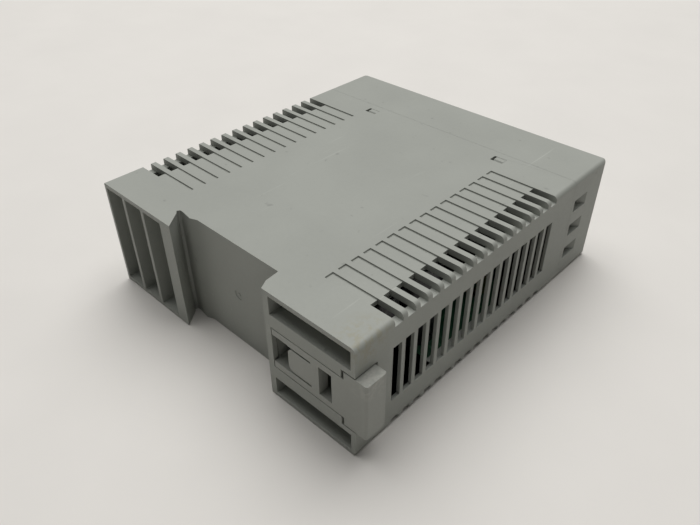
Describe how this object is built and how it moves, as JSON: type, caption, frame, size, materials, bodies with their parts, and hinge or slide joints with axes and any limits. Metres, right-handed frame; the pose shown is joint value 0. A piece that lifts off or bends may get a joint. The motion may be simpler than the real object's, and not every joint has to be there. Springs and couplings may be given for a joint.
{
  "type": "din rail power supply",
  "caption": "Slim moulded enclosure that clips to a 35 mm rail, with slotted long edges, a sliding spring latch, wire entries at both ends and a power supply circuit inside.",
  "frame": {"origin": "middle of the rail seat: on the flat floor of the rail notch, at the centre of the rail's 35 mm width and of the device's width along the rail", "axes": "+X from the fixed hook side to the latch side, +Y from the rail to the front panel, +Z along the rail; the device lies on its broad -Z side"},
  "size_m": [0.1024, 0.1114, 0.035],
  "materials": {
    "enclosure_plastic": "fine spark-eroded moulded texture",
    "label_plastic": "satin film",
    "clear_plastic": "clear, slightly green",
    "led_epoxy": "tinted epoxy",
    "board_laminate": "green solder mask",
    "black_moulding": "black moulded",
    "insulation_film": "pale fibre film",
    "terminal_plastic": "dark grey moulded",
    "zinc_steel": "zinc plated",
    "screw_steel": "zinc plated, turned",
    "contact_brass": "tinned brass",
    "fuse_glass": "clear",
    "nickel": "nickel plated",
    "thermistor_coat": "dark lacquer",
    "varistor_coat": "dark blue epoxy dip",
    "film_box": "dark grey box",
    "ferrite": "ground ferrite",
    "iron_powder": "yellow coated powder core",
    "copper_wire": "enamelled copper",
    "winding_tape": "yellow polyester tape over wire",
    "capacitor_sleeve": "black shrink sleeve",
    "heatsink_aluminium": "plain mill finish",
    "opto_plastic": "white moulded",
    "resistor_coat": "cement coat",
    "trimmer_plastic": "blue moulded",
    "rotor_plastic": "white moulded"
  },
  "bodies": {
    "root": {"housing": "enclosure_plastic", "front_cap": "enclosure_plastic", "marking_plate": "label_plastic", "led_lens": "clear_plastic", "status_led": "led_epoxy", "main_board": "board_laminate", "front_board": "board_laminate", "board_header": "black_moulding", "line_choke_base": "black_moulding", "bridge_rectifier": "black_moulding", "switching_transistor": "black_moulding", "output_rectifier": "black_moulding", "control_chip": "black_moulding", "transformer_bobbin": "black_moulding", "insulating_sheet": "insulation_film", "input_terminal_body": "terminal_plastic", "output_terminal_body": "terminal_plastic", "heatsink_screws": "screw_steel", "input_contacts": "contact_brass", "output_contacts": "contact_brass", "fuse_clips": "contact_brass", "fuse_tube": "fuse_glass", "fuse_caps": "nickel", "inrush_thermistor": "thermistor_coat", "varistor": "varistor_coat", "y_capacitors": "varistor_coat", "x_capacitor": "film_box", "line_choke_core": "ferrite", "transformer_core_lower": "ferrite", "transformer_core_upper": "ferrite", "output_choke_core": "iron_powder", "line_choke_windings": "copper_wire", "output_choke_winding": "copper_wire", "transformer_winding": "winding_tape", "bulk_capacitor_1": "capacitor_sleeve", "bulk_capacitor_2": "capacitor_sleeve", "output_capacitor_1": "capacitor_sleeve", "output_capacitor_2": "capacitor_sleeve", "output_capacitor_3": "capacitor_sleeve", "transistor_heatsink": "heatsink_aluminium", "output_heatsink": "heatsink_aluminium", "optocoupler": "opto_plastic", "power_resistors": "resistor_coat", "trimmer_body": "trimmer_plastic"},
    "latch": {"din_latch": "enclosure_plastic"},
    "trimmer": {"trimmer_rotor": "rotor_plastic"},
    "input_screw_1": {"input_screw_1": "screw_steel"},
    "input_clamp_1": {"input_clamp_1": "zinc_steel"},
    "input_screw_2": {"input_screw_2": "screw_steel"},
    "input_clamp_2": {"input_clamp_2": "zinc_steel"},
    "input_screw_3": {"input_screw_3": "screw_steel"},
    "input_clamp_3": {"input_clamp_3": "zinc_steel"},
    "output_screw_1": {"output_screw_1": "screw_steel"},
    "output_clamp_1": {"output_clamp_1": "zinc_steel"},
    "output_screw_2": {"output_screw_2": "screw_steel"},
    "output_clamp_2": {"output_clamp_2": "zinc_steel"},
    "output_screw_3": {"output_screw_3": "screw_steel"},
    "output_clamp_3": {"output_clamp_3": "zinc_steel"}
  },
  "joints": [
    {"name": "latch_slide", "type": "slide", "parent": "root", "child": "latch", "axis": [1, 0, 0], "range_m": [0, 0.003], "stiffness_N_per_m": 2500},
    {"name": "trimmer_turn", "type": "hinge", "parent": "root", "child": "trimmer", "pos_m": [-0.0225, 0.1, -0.005], "axis": [0, 1, 0], "range_deg": [-135, 135]},
    {"name": "input_screw_1_turn", "type": "hinge", "parent": "root", "child": "input_screw_1", "pos_m": [0.0449, 0.0986, -0.0085], "axis": [0, -1, 0], "range_deg": [0, 2160]},
    {"name": "input_clamp_1_lift", "type": "slide", "parent": "root", "child": "input_clamp_1", "axis": [0, 1, 0], "range_m": [0, 0.003]},
    {"name": "input_screw_2_turn", "type": "hinge", "parent": "root", "child": "input_screw_2", "pos_m": [0.0449, 0.0986, 0], "axis": [0, -1, 0], "range_deg": [0, 2160]},
    {"name": "input_clamp_2_lift", "type": "slide", "parent": "root", "child": "input_clamp_2", "axis": [0, 1, 0], "range_m": [0, 0.003]},
    {"name": "input_screw_3_turn", "type": "hinge", "parent": "root", "child": "input_screw_3", "pos_m": [0.0449, 0.0986, 0.0085], "axis": [0, -1, 0], "range_deg": [0, 2160]},
    {"name": "input_clamp_3_lift", "type": "slide", "parent": "root", "child": "input_clamp_3", "axis": [0, 1, 0], "range_m": [0, 0.003]},
    {"name": "output_screw_1_turn", "type": "hinge", "parent": "root", "child": "output_screw_1", "pos_m": [-0.0379, 0.0986, -0.0085], "axis": [0, -1, 0], "range_deg": [0, 2160]},
    {"name": "output_clamp_1_lift", "type": "slide", "parent": "root", "child": "output_clamp_1", "axis": [0, 1, 0], "range_m": [0, 0.003]},
    {"name": "output_screw_2_turn", "type": "hinge", "parent": "root", "child": "output_screw_2", "pos_m": [-0.0379, 0.0986, 0], "axis": [0, -1, 0], "range_deg": [0, 2160]},
    {"name": "output_clamp_2_lift", "type": "slide", "parent": "root", "child": "output_clamp_2", "axis": [0, 1, 0], "range_m": [0, 0.003]},
    {"name": "output_screw_3_turn", "type": "hinge", "parent": "root", "child": "output_screw_3", "pos_m": [-0.0379, 0.0986, 0.0085], "axis": [0, -1, 0], "range_deg": [0, 2160]},
    {"name": "output_clamp_3_lift", "type": "slide", "parent": "root", "child": "output_clamp_3", "axis": [0, 1, 0], "range_m": [0, 0.003]}
  ],
  "couplings": [
    {"joint": "input_screw_1_turn", "follows": "input_clamp_1_lift", "rad_per_m": 12566},
    {"joint": "input_screw_2_turn", "follows": "input_clamp_2_lift", "rad_per_m": 12566},
    {"joint": "input_screw_3_turn", "follows": "input_clamp_3_lift", "rad_per_m": 12566},
    {"joint": "output_screw_1_turn", "follows": "output_clamp_1_lift", "rad_per_m": 12566},
    {"joint": "output_screw_2_turn", "follows": "output_clamp_2_lift", "rad_per_m": 12566},
    {"joint": "output_screw_3_turn", "follows": "output_clamp_3_lift", "rad_per_m": 12566}
  ]
}
